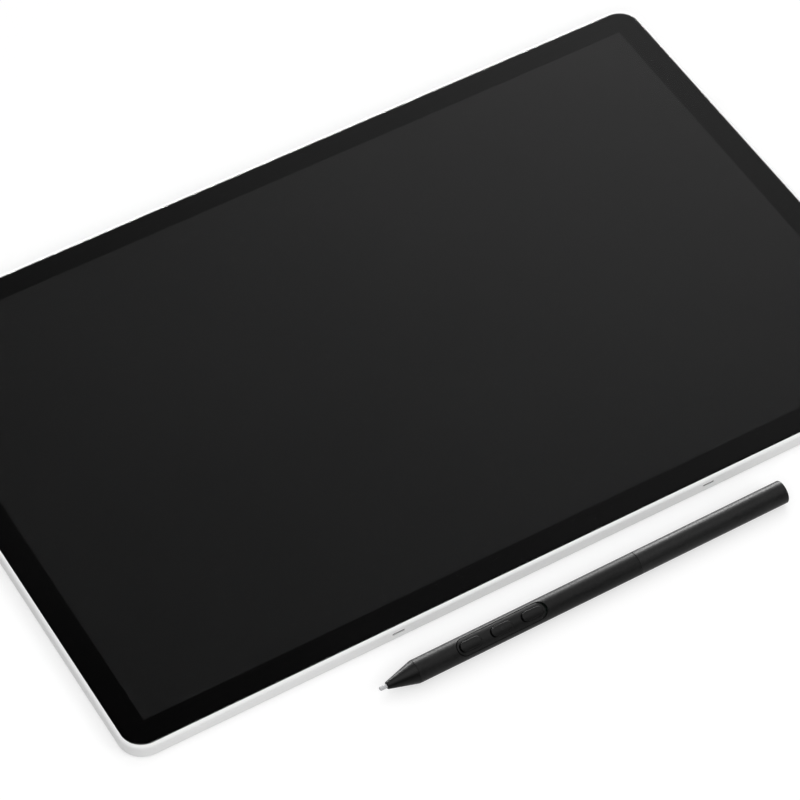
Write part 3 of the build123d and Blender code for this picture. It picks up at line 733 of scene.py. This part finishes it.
def make_slot_linings():
    """A short sleeve in each slot, from the mesh to a little behind the wall's face."""
    low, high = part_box("speaker_meshes")
    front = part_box("rear_cover")[0].y + LINING_SETBACK
    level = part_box("cover_glass")[1].z - SOUND_SLOT_DROP
    outer = SOUND_SLOT_HEIGHT / 2 - SEAM
    inner = outer - LINING_WALL
    shape = bmesh.new()
    for x in (low.x + NOZZLE_LENGTH / 2, high.x - NOZZLE_LENGTH / 2):
        loops = []
        for y, radius in ((front, outer), (low.y, outer), (low.y, inner), (front, inner)):
            loops.append([shape.verts.new(point) for point in slot_ring(x, y, level, radius)])
        for first, second in zip(loops, loops[1:] + loops[:1]):
            add_bridge(shape, first, second)
    bmesh.ops.recalc_face_normals(shape, faces=shape.faces)
    new_piece("slot_linings", shape, "tablet", "speaker_case")


# Studio
def make_camera():
    """The camera, where the photograph was taken from."""
    level = cos(CAMERA_ELEVATION)
    back = Vector((sin(CAMERA_AZIMUTH) * level, -cos(CAMERA_AZIMUTH) * level, sin(CAMERA_ELEVATION)))
    side = Vector((0, 0, 1)).cross(back).normalized()
    up = back.cross(side)
    right = cos(CAMERA_ROLL) * side + sin(CAMERA_ROLL) * up
    top = cos(CAMERA_ROLL) * up - sin(CAMERA_ROLL) * side
    data = bpy.data.cameras.new("camera")
    data.lens = CAMERA_LENS
    data.sensor_width = SENSOR_WIDTH
    data.clip_start = CAMERA_NEAR
    data.clip_end = 2 * FLOOR_SIZE
    camera = bpy.data.objects.new("camera", data)
    bpy.context.scene.collection.objects.link(camera)
    place = glass_middle() + Vector((AIM_X, AIM_Y, 0)) + back * CAMERA_DISTANCE
    turn = Matrix((right, top, back)).transposed().to_4x4()
    camera.matrix_world = Matrix.Translation(place) @ turn
    bpy.context.scene.camera = camera


def make_soft_light(name, azimuth, elevation, width, height, power):
    """A softbox that faces the object and lights it, but doesn't show in gloss or through glass."""
    data = bpy.data.lights.new(name, "AREA")
    data.shape = "RECTANGLE"
    data.size = width
    data.size_y = height
    data.energy = power
    lamp = bpy.data.objects.new(name, data)
    bpy.context.scene.collection.objects.link(lamp)
    towards = direction(azimuth, elevation)
    lamp.location = glass_middle() + towards * LAMP_DISTANCE
    lamp.rotation_euler = towards.to_track_quat("Z", "Y").to_euler()
    lamp.visible_glossy = False
    lamp.visible_transmission = False
    return lamp


def make_strip_light():
    """A long low softbox beyond the tablet, which shows only in gloss, as the highlight along the pen."""
    lamp = make_soft_light("strip", **STRIP_LIGHT)
    lamp.visible_glossy = True
    lamp.visible_diffuse = False


def camera_or_mirror(tree):
    """One for what the camera sees straight on or in gloss or glass, and nought for light on a surface."""
    path = add(tree, "ShaderNodeLightPath")
    seen = maths(tree, "MAXIMUM", path.outputs["Is Camera Ray"], path.outputs["Is Glossy Ray"])
    return maths(tree, "MAXIMUM", seen, path.outputs["Is Transmission Ray"])


def angle_from(tree, looking, azimuth, elevation):
    """The angle between where a ray goes and a place in the studio."""
    node = add(tree, "ShaderNodeVectorMath", operation="DOT_PRODUCT")
    link(tree, looking, node.inputs[0])
    node.inputs[1].default_value = direction(azimuth, elevation)
    return maths(tree, "ARCCOSINE", node.outputs["Value"])


def lamp_glow(tree, looking):
    """A soft lamp's glow, which fades to nothing at its reach."""
    inside = maths(tree, "SUBTRACT", GLOW_REACH, angle_from(tree, looking, GLOW_AZIMUTH, GLOW_ELEVATION))
    rise = maths(tree, "MAXIMUM", maths(tree, "MULTIPLY", inside, GLOW_SLOPE), 0.0)
    return maths(tree, "MULTIPLY", rise, rise)


def low_white(tree, depth, height):
    """White low down on the far side, and far less of it on the near side."""
    white = spread(tree, height, LOW_UNTIL, DARK_FROM, LOW_STRENGTH, 0.0)
    return maths(tree, "MULTIPLY", white, spread(tree, depth, NEAR_UNTIL, FAR_FROM, LOW_NEAR_SHARE, 1.0))


def overhead_softbox(tree, looking):
    """A round softbox with a soft edge."""
    away = angle_from(tree, looking, OVERHEAD_AZIMUTH, OVERHEAD_ELEVATION)
    return spread(tree, away, OVERHEAD_INNER, OVERHEAD_OUTER, OVERHEAD_STRENGTH, 0.0)


def make_surround():
    """The light of the room: white to the camera, the studio in gloss, and a soft dome on surfaces."""
    world = bpy.data.worlds.new("studio")
    bpy.context.scene.world = world
    world.use_nodes = True
    world.cycles.sampling_method = "NONE"
    tree = world.node_tree
    background = tree.nodes["Background"]
    looking = add(tree, "ShaderNodeTexCoord").outputs["Generated"]
    apart = add(tree, "ShaderNodeSeparateXYZ")
    link(tree, looking, apart.inputs[0])
    low = low_white(tree, apart.outputs["Y"], apart.outputs["Z"])
    shown = maths(tree, "MAXIMUM", lamp_glow(tree, looking), low)
    shown = maths(tree, "MAXIMUM", shown, overhead_softbox(tree, looking))
    dome = spread(tree, apart.outputs["Z"], 0.0, 1.0, DOME_LOW, DOME_TOP)
    path = add(tree, "ShaderNodeLightPath")
    light = mix(tree, "FLOAT", path.outputs["Is Glossy Ray"], dome, shown)
    strength = mix(tree, "FLOAT", path.outputs["Is Camera Ray"], light, 1.0)
    background.inputs["Color"].default_value = grey(1.0)
    link(tree, strength, background.inputs["Strength"])


def make_floor():
    """A pale floor that takes the object's shadow."""
    bpy.ops.mesh.primitive_plane_add(size=FLOOR_SIZE, location=(0, 0, 0))
    floor = bpy.context.object
    floor.name = "floor"
    material, tree, shader = new_finish("pale_floor", FLOOR_ROUGHNESS, shine=0.0)
    shader.inputs["Base Color"].default_value = grey(FLOOR_COLOUR)
    shader.inputs["Emission Color"].default_value = grey(1.0)
    glow = maths(tree, "MULTIPLY", camera_or_mirror(tree), FLOOR_LIFT)
    link(tree, glow, shader.inputs["Emission Strength"])
    floor.data.materials.append(material)


make_camera()
finishes = make_finishes()
dress_nodes()
make_clear_glass()
make_port_contacts()
make_woven_meshes()
make_slot_linings()
make_surround()
make_floor()
for name, values in SOFTBOXES.items():
    make_soft_light(name, **values)
make_strip_light()
bpy.context.scene.view_settings.view_transform = "Standard"
